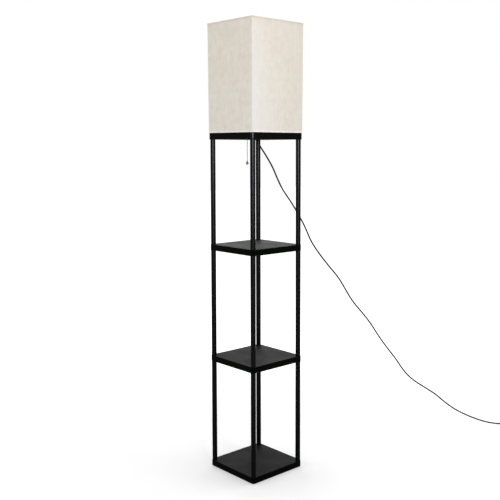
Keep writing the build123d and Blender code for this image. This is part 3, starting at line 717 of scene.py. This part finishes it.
topFrame = smoothCopy("top_frame", finish["paint"])
paintEdge(topFrame.data, boardSet, glossyCorners=True)
print("boards and frame made")


# tubes

tubeSet = {"radius": 0.009, "bore": 0.0078, "edge": 0.0004, "steps": 48}


def tubeGrid(s, centre, low, high):
    # closed section of the wall, with its two outer edges eased, turned round the tube's axis
    outer, edge = s["radius"], s["edge"]
    ease = [(edge, 0), (0.3 * edge, 0.3 * edge), (0, edge), (0, 3 * edge)]  # inwards and along, from the end
    foot = [(s["bore"], low)] + [(outer - inwards, low + along) for inwards, along in ease]
    head = [(s["bore"], high)] + [(outer - inwards, high - along) for inwards, along in ease]
    return turned(foot + head[::-1], centre, s["steps"])


glossPieces = [topFrame]
for node in sorted(name for name in frame["nodes"] if "_post_" in name):
    low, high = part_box(node)
    centre = ((low.x + high.x) / 2, (low.y + high.y) / 2)
    grid = tubeGrid(tubeSet, centre, low.z, high.z)
    mesh = gridMesh(node + "Tube", grid, closedV=True, sharp=50)
    glossPieces.append(link(node + "Tube", mesh, finish["tube"], "lamp", [node]))
print("tubes made")


# shade

shadeSet = {
    "bottomSide": 0.236, "topSide": 0.240, "cornerRadius": 0.00255,
    "thickness": 0.0009, "rows": 72, "straightSteps": 56, "arcSteps": 6,
    "ripple": 0.00012,
    "waves": [  # share of the ripple, waves round the shade, radians up it, and where the wave starts
        (1, 9, 2.1, 0),
        (1, 14, -5, 1.3),
        (0.7, 23, 9, 4),
    ],
    "hemThickness": 0.0005, "hemGap": 0.00005, "hemEase": 0.0001, "laminate": 0.00155,
    "hemCloth": 0.012,  # metres of cloth across a folded hem
    "hemStraightSteps": 24, "hemArcSteps": 8, "foldSteps": 7,
}


def shadeHalf(s, height):
    # half of the fabric's side at a height: it grows evenly from bottom to top
    low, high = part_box("bottom_trim")[0].z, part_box("top_trim")[1].z
    return (s["bottomSide"] + (s["topSide"] - s["bottomSide"]) * (height - low) / (high - low)) / 2


def aroundShade(s, path, heights, out):
    # a square that grows with height; out is how far the wall stands from the centres of its round corners
    centres, normals = path
    reach = shadeHalf(s, heights) - s["cornerRadius"]
    grid = np.empty((len(centres), len(heights), 3))
    grid[..., :2] = centres[:, None] * reach[:, None] + normals[:, None] * out[..., None]
    grid[..., 2] = heights
    return grid


def clothGrid(s):
    # square path whose side grows with height, moved in and out by a sum of long low waves
    low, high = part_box("shade_fabric")
    heights = np.linspace(low.z, high.z, s["rows"])
    path = squarePath(2, 0, s["arcSteps"], s["straightSteps"])
    count = len(path[0])
    around = np.arange(count)[:, None] / count * 2 * pi
    up = (heights - low.z) / (high.z - low.z)
    waves = sum(share * np.sin(n * around + lean * up + start) for share, n, lean, start in s["waves"])
    out = s["cornerRadius"] + s["ripple"] * (waves * np.sin(pi * up) - 1)
    return aroundShade(s, path, heights, out)


def addShadeCloth(s):
    # the fabric's outer face, whose wall is thickened inwards
    low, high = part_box("shade_fabric")
    girth = 4 * (s["bottomSide"] + s["topSide"]) / 2
    mesh = gridMesh("shadeCloth", clothGrid(s), flatEnds=False, uvSize=(girth, high.z - low.z))
    cloth = link("shadeCloth", mesh, finish["linen"], "lamp", ["shade_fabric"])
    wall = cloth.modifiers.new("clothThickness", "SOLIDIFY")
    wall.thickness = s["thickness"]
    wall.offset = -1
    return cloth, (girth, high.z - low.z)


def hemGrid(s, node, foldAtTop):
    # folded strip carried round the square: outer band, quarter circle over the fabric's edge, inner lip
    low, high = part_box(node)
    edge, far, away = (high.z, low.z, 1) if foldAtTop else (low.z, high.z, -1)
    thick, ease, gap = s["hemThickness"], s["hemEase"], s["hemGap"]
    outer, inner = -gap - thick, s["laminate"]
    turn = np.linspace(pi / 2, 0, s["foldSteps"])
    fold = np.stack([outer + thick * (1 - np.sin(turn)), edge - away * thick * (1 - np.cos(turn))], -1)
    section = np.concatenate([
        [(-gap, far), (outer + ease, far), (outer, far + away * ease)],
        fold,
        [(inner, edge), (inner, edge - away * thick), (-gap, edge - away * thick)],
    ])
    path = squarePath(2, 0, s["hemArcSteps"], s["hemStraightSteps"])
    return aroundShade(s, path, section[:, 1], s["cornerRadius"] - section[:, 0])


shadeCloth, clothSize = addShadeCloth(shadeSet)
for node, foldAtTop, key in (("top_trim", True, "topHem"), ("bottom_trim", False, "bottomHem")):
    uvSize = (clothSize[0], shadeSet["hemCloth"])
    mesh = gridMesh(node + "Hem", hemGrid(shadeSet, node, foldAtTop), closedV=True, uvSize=uvSize, sharp=60)
    link(node + "Hem", mesh, finish[key], "lamp", [node])
smoothCopy("shade_liner", finish["liner"])
smoothCopy("shade_top_ring", finish["whiteWire"])
smoothCopy("shade_spider", finish["whiteWire"])
print("shade made")


# lampholder and bulb, turned round the lamp's axis

socketSet = {
    "bodySection": [  # radius, and height above the body's foot, in metres
        (0.0125, 0), (0.020, 0), (0.020, 0.010),
        (0.0235, 0.010), (0.024, 0.0105), (0.024, 0.0115), (0.0235, 0.012),  # flange
        (0.0195, 0.012), (0.0195, 0.0392), (0.0187, 0.040),  # threaded outside
        (0.0165, 0.040), (0.0165, 0.002), (0.0125, 0.002),
    ],
    "threadPitch": 0.0032, "threadDepth": 0.0005, "threadReach": (0.0125, 0.039), "threadEnd": 0.0005,
    "threadRadius": 0.0195, "insideRadius": 0.019,
    "ringOuter": 0.025, "ringInner": 0.0198, "ringEase": 0.0006, "ringSteps": 216,
    "knurls": 36, "knurlDepth": 0.0006, "knurlBand": 0.001,
}

bulbSet = {
    "axis": 0.00005,  # radius that closes a pole
    "capRadius": 0.0131, "tipRadius": 0.009, "taper": 0.0041, "rim": 0.001, "rimInset": 0.0003,
    "capPitch": 0.0036, "capDepth": 0.0009, "threadInset": (0.0045, 0.002), "threadEnd": 0.001,
    "footRadius": 0.0136, "footInset": 0.00136, "topRadius": 0.030, "topInset": 0.0012,
    "slope": 0.35, "power": 0.9,  # share of the flare that is a plain slope, and the power of the rest
    "plainShare": 1 / 7, "plainFlare": 0.02, "flareRows": 60, "housingSteps": 240,
    "fins": 30, "finWidth": 0.4, "finDepth": 0.035, "finInset": 0.005, "finEnd": 0.006,
    "globeFoot": [(0.0016, 0), (0.0004, 0.0004), (0, 0.0012)],  # inwards and up from the globe's lower edge
    "globeRows": 40, "globeSteps": 96, "poleGap": 0.002,  # radians left open at the top
}


def profileLine(points, step=0.0004):
    # a polyline of (radius, height) resampled to an even step, its corners kept
    points = np.array(points, float)
    rows = [points[:1]]
    for start, end in zip(points[:-1], points[1:]):
        count = max(1, int(np.ceil(np.linalg.norm(end - start) / step)))
        rows.append(start + (end - start) * (np.arange(1, count + 1) / count)[:, None])
    return np.concatenate(rows)


def shaped(profile, change, steps=96):
    # surface of revolution whose radius is multiplied by change(angle, height, radius)
    grid = turned(profile, steps=steps)
    angle = np.arange(steps)[:, None] / steps * 2 * pi
    factor = change(angle, profile[None, :, 1], profile[None, :, 0])
    grid[..., :2] *= factor[..., None]
    return grid


def between(value, low, high, soft):
    # 1 inside a stretch and 0 outside it, with soft ends
    return np.clip((value - low) / soft, 0, 1) * np.clip((high - value) / soft, 0, 1)


def addSocketBody(s):
    # a closed section turned round the lamp's axis, threaded outside
    low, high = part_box("socket_body")
    section = profileLine(np.array(s["bodySection"]) + (0, low.z))
    start, end = s["threadReach"]

    def thread(angle, height, radius):
        # a ridge that climbs one pitch each turn, on the outer wall only
        up = height - low.z
        wave = 0.5 - 0.5 * np.cos(2 * pi * up / s["threadPitch"] - angle)
        outside = between(up, start, end, s["threadEnd"]) * (radius > s["insideRadius"])
        return 1 - s["threadDepth"] * wave * outside / s["threadRadius"]

    mesh = gridMesh("socketBodyThreaded", shaped(section, thread), closedV=True, sharp=50)
    link("socketBodyThreaded", mesh, finish["blackPlastic"], "lamp", ["socket_body"])


def addShadeRing(s):
    # a flat section with eased edges turned round the axis, knurled outside
    low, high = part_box("shade_ring")
    outer, inner, ease = s["ringOuter"], s["ringInner"], s["ringEase"]
    section = profileLine([
        (inner, low.z), (outer - ease, low.z), (outer, low.z + ease),
        (outer, high.z - ease), (outer - ease, high.z), (inner, high.z),
    ])

    def knurl(angle, height, radius):
        # rounded grips: a cosine round the outer wall
        grips = 0.5 - 0.5 * np.cos(s["knurls"] * angle)
        return 1 - s["knurlDepth"] * grips * (radius > outer - s["knurlBand"]) / outer

    mesh = gridMesh("shadeRingKnurled", shaped(section, knurl, s["ringSteps"]), closedV=True, sharp=50)
    link("shadeRingKnurled", mesh, finish["blackPlastic"], "ring", ["shade_ring"])


def addBulbCap(s):
    # a cone, a straight threaded wall and two flat ends, turned round the axis
    low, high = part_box("bulb_cap")
    axis, outer = s["axis"], s["capRadius"]
    section = profileLine([
        (axis, low.z), (s["tipRadius"], low.z), (outer, low.z + s["taper"]),
        (outer, high.z - s["rim"]), (outer - s["rimInset"], high.z), (axis, high.z),
    ])
    foot, top = s["threadInset"]

    def thread(angle, height, radius):
        # the same climbing ridge as on the lampholder, on the straight part of the cap
        wave = 0.5 - 0.5 * np.cos(2 * pi * (height - low.z) / s["capPitch"] - angle)
        stretch = between(height, low.z + foot, high.z - top, s["threadEnd"])
        return 1 - s["capDepth"] * wave * stretch / outer

    mesh = gridMesh("bulbCapThreaded", shaped(section, thread), sharp=50)
    link("bulbCapThreaded", mesh, finish["aluminium"], "bulb", ["bulb_cap"])


def addBulbHousing(s):
    # a flare from a slope and a cosine that stays inside a straight cone, turned round the axis
    low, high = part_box("bulb_housing")
    foot, top = s["footRadius"], s["topRadius"]
    lift = np.linspace(0, 1, s["flareRows"])
    flare = s["slope"] * lift + (1 - s["slope"]) * (1 - np.cos(lift * pi / 2)) ** s["power"]
    cone = np.clip((lift - s["plainShare"]) / (1 - s["plainShare"]), s["plainFlare"], 1)
    wall = np.stack([foot + (top - foot) * np.minimum(flare, cone), low.z + lift * (high.z - low.z)], -1)
    base = [(s["axis"], low.z), (foot - s["footInset"], low.z)]
    lid = [(top - s["topInset"], high.z), (s["axis"], high.z)]
    section = np.concatenate([base, wall, lid])

    def fins(angle, height, radius):
        # shallow upright grooves, as deep as a share of the radius, that fade out towards both ends
        ribs = np.clip(s["finWidth"] + np.cos(s["fins"] * angle), 0, 1)
        stretch = between(height, low.z + s["finInset"], high.z - s["finInset"], s["finEnd"])
        return 1 - s["finDepth"] * ribs * stretch

    mesh = gridMesh("bulbHousingRibbed", shaped(section, fins, s["housingSteps"]), sharp=50)
    link("bulbHousingRibbed", mesh, finish["whitePlastic"], "bulb", ["bulb_housing"])


def addBulbGlobe(s):
    # short eased foot, straight wall and half a ball, turned round the axis
    low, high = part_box("bulb_globe")
    radius = s["topRadius"]
    shoulder = high.z - radius
    dome = np.linspace(0, pi / 2 - s["poleGap"], s["globeRows"])
    section = np.concatenate([
        [(s["axis"], low.z)],
        [(radius - inwards, low.z + up) for inwards, up in s["globeFoot"]],
        np.stack([radius * np.cos(dome), shoulder + radius * np.sin(dome)], -1),
    ])
    mesh = gridMesh("bulbGlobeOpal", turned(section, steps=s["globeSteps"]), sharp=60)
    link("bulbGlobeOpal", mesh, finish["opal"], "bulb", ["bulb_globe"])


addSocketBody(socketSet)
addShadeRing(socketSet)
addBulbCap(bulbSet)
addBulbHousing(bulbSet)
addBulbGlobe(bulbSet)
print("lampholder and bulb made")


# pull chain and its bell

chainSet = {
    "place": (-0.045, 0), "beadRadius": 0.0015, "pitch": 0.004, "beads": 22,
    "linkRadius": 0.0004, "closedRadius": 0.0001, "rows": 402, "steps": 20,
    "bellSteps": 40, "bellRows": 70, "bellNeck": 0.0022, "bellRadius": 0.005,
    "bellTop": 0.0019, "bellTip": 0.00008,
    "belly": 0.64, "lines": (0.16, 0.22, 0.64), "lineWidth": 0.012,  # shares of the height, from the top
    "lineDepth": 0.00022,
}


def chainGrid(s):
    # beads on a thin link: at each height the larger of the link's radius and the nearest bead's circle
    low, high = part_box("pull_chain")
    firstBead = high.z - s["beadRadius"]
    height = np.linspace(high.z, low.z, s["rows"])
    nearest = np.clip(np.round((firstBead - height) / s["pitch"]), 0, s["beads"] - 1)
    away = height - (firstBead - nearest * s["pitch"])
    bead = np.sqrt(np.clip(s["beadRadius"] ** 2 - away**2, 0, None))
    radius = np.maximum(bead, s["linkRadius"])
    radius[0] = s["closedRadius"]
    return turned(np.stack([radius, height], -1), s["place"], s["steps"])


def bellGrid(s):
    # drop shape: the neck swells by a cosine into the belly, a half circle drawn out, with three turned lines
    low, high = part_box("chain_bell")
    share = np.linspace(0, 1, s["bellRows"])
    height = high.z + (low.z - high.z) * share
    under = np.clip(1 - ((share - s["belly"]) / (1 - s["belly"])) ** 2, 0, 1)
    swell = (1 - np.cos(pi * np.clip(share / s["belly"], 0, 1))) / 2
    above = s["bellNeck"] + (s["bellRadius"] - s["bellNeck"]) * swell
    radius = np.where(share < s["belly"], above, s["bellRadius"] * np.sqrt(under))
    lines = sum(np.exp(-(((share - line) / s["lineWidth"]) ** 2)) for line in s["lines"])
    radius = np.clip(radius - s["lineDepth"] * lines, s["bellTip"], None)
    radius[0] = s["bellTop"]
    return turned(np.stack([radius, height], -1), s["place"], s["bellSteps"])


for name, grid, node in (("pullChainBeads", chainGrid(chainSet), "pull_chain"),
                         ("chainBellTurned", bellGrid(chainSet), "chain_bell")):
    link(name, gridMesh(name, grid, sharp=55), finish["nickel"], "chain", [node])
print("chain made")


# the other CAD pieces, with their finishes

finishes = {
    "zinc": [
        "base_screws", "frame_screws", "bar_screws", "joining_studs", "tube_inserts", "bar_nuts",
        "threaded_nipple", "wheel_pin", "return_spring", "cross_bar",
    ],
    "nickel": ["switch_bushing", "pull_link"],
    "brass": [
        "terminal_screws", "screw_shell", "centre_contact", "bulb_contact", "switch_contacts", "switch_wheel",
    ],
    "porcelain": ["socket_insert"],
    "blackGlass": ["bulb_insulator"],
    "blackPlastic": ["socket_cap", "switch_housing", "switch_cover"],
    "cord": ["inner_lead", "inner_wires"],
    "pad": ["foot_pads"],
}
for key, names in finishes.items():
    for node in names:
        smoothCopy(node, finish[key])
print("other pieces finished")


# floor, background and lamps

stageSet = {
    "floorSize": 30, "floorDiffuse": 0.45, "glowNear": 0.36, "glowFar": 1.0, "glowReach": (0.45, 1.9),
    "worldLevel": 0.6,
    "keys": [
        {"name": "rightLamp", "place": (2.8, 1.53, 1.95), "size": (0.8, 1.4), "power": 18.1},
        {"name": "leftLamp", "place": (-1.17, -2.98, 1.95), "size": (0.8, 1.4), "power": 28},
        {"name": "frontLamp", "place": (1.5, -0.75, 1.9), "size": (0.4, 0.8), "power": 12.5},
        {"name": "backLamp", "place": (-2.4, 2.2, 2.3), "size": (1.2, 1.2), "power": 18},
    ],
    "overhead": {"name": "topLamp", "place": (-0.08, 0.16, 3.6), "size": (1.3, 0.5), "power": 88},
    # seen in gloss alone: the light stripes on the tubes
    "glossBox": {"name": "viewBox", "place": (2.72, -1.87, 1.62), "size": (2.3, 1.2), "power": 700},
}


def seenRay(tree):
    # 1 for rays from the camera, from gloss and through glass
    path = tree.nodes.new("ShaderNodeLightPath")
    total = path.outputs["Is Camera Ray"]
    for name in ("Is Glossy Ray", "Is Transmission Ray"):
        add = tree.nodes.new("ShaderNodeMath")
        add.operation = "MAXIMUM"
        tree.links.new(total, add.inputs[0])
        tree.links.new(path.outputs[name], add.inputs[1])
        total = add.outputs["Value"]
    return total


def addFloor(s):
    # a wide flat square that looks white but still takes the lamp's shadow
    half = s["floorSize"] / 2
    mesh = bpy.data.meshes.new("studioFloor")
    corners = [(-half, -half, 0), (half, -half, 0), (half, half, 0), (-half, half, 0)]
    mesh.from_pydata(corners, [], [(0, 1, 2, 3)])
    floor = bpy.data.objects.new("studioFloor", mesh)
    scene.collection.objects.link(floor)
    material = bpy.data.materials.new("paleFloor")
    material.use_nodes = True
    tree = material.node_tree
    shader = tree.nodes["Principled BSDF"]
    shader.inputs["Base Color"].default_value = (s["floorDiffuse"],) * 3 + (1,)
    shader.inputs["Roughness"].default_value = 1
    shader.inputs["Specular IOR Level"].default_value = 0
    # the pale colour seen by the camera grows with the distance from the lamp, where less light falls
    place = tree.nodes.new("ShaderNodeTexCoord")
    away = tree.nodes.new("ShaderNodeVectorMath")
    away.operation = "LENGTH"
    tree.links.new(place.outputs["Object"], away.inputs[0])
    fade = tree.nodes.new("ShaderNodeMapRange")
    fade.interpolation_type = "SMOOTHSTEP"
    nearby, faraway = s["glowReach"]
    ends = {"From Min": nearby, "From Max": faraway, "To Min": s["glowNear"], "To Max": s["glowFar"]}
    for name, value in ends.items():
        fade.inputs[name].default_value = value
    tree.links.new(away.outputs["Value"], fade.inputs["Value"])
    glow = tree.nodes.new("ShaderNodeMath")
    glow.operation = "MULTIPLY"
    tree.links.new(seenRay(tree), glow.inputs[0])
    tree.links.new(fade.outputs["Result"], glow.inputs[1])
    shader.inputs["Emission Color"].default_value = (1, 1, 1, 1)
    tree.links.new(glow.outputs["Value"], shader.inputs["Emission Strength"])
    mesh.materials.append(material)


def addWorld(s):
    # even white light all round, seen at full white
    world = bpy.data.worlds.new("studio")
    scene.world = world
    world.use_nodes = True
    tree = world.node_tree
    back = tree.nodes["Background"]
    back.inputs["Color"].default_value = (1, 1, 1, 1)
    level = tree.nodes.new("ShaderNodeMapRange")
    level.inputs["To Min"].default_value = s["worldLevel"]
    level.inputs["To Max"].default_value = 1
    tree.links.new(seenRay(tree), level.inputs["Value"])
    tree.links.new(level.outputs["Result"], back.inputs["Strength"])


def addLamp(name, place, size, power, target=(0, 0, 0.9)):
    # a flat lamp that faces the middle of the object
    light = bpy.data.lights.new(name, "AREA")
    light.shape = "RECTANGLE"
    light.size, light.size_y = size
    light.energy = power
    lamp = bpy.data.objects.new(name, light)
    lamp.location = place
    x, y, z = (end - start for start, end in zip(place, target))
    lamp.rotation_euler = (pi / 2 + atan2(z, hypot(x, y)), 0, atan2(-x, y))
    scene.collection.objects.link(lamp)
    return lamp


def onlyInGloss(lamp, pieces):
    # a lamp that these pieces alone show, and only as a highlight
    shown = bpy.data.collections.new(lamp.name + "Pieces")
    for piece in pieces:
        shown.objects.link(piece)
    lamp.light_linking.receiver_collection = shown
    lamp.visible_diffuse = False


addFloor(stageSet)
addWorld(stageSet)
for key in stageSet["keys"]:
    addLamp(**key)
addLamp(**stageSet["overhead"]).visible_glossy = False
onlyInGloss(addLamp(**stageSet["glossBox"]), glossPieces)
scene.view_settings.view_transform = "Standard"
print("stage and lamps set")
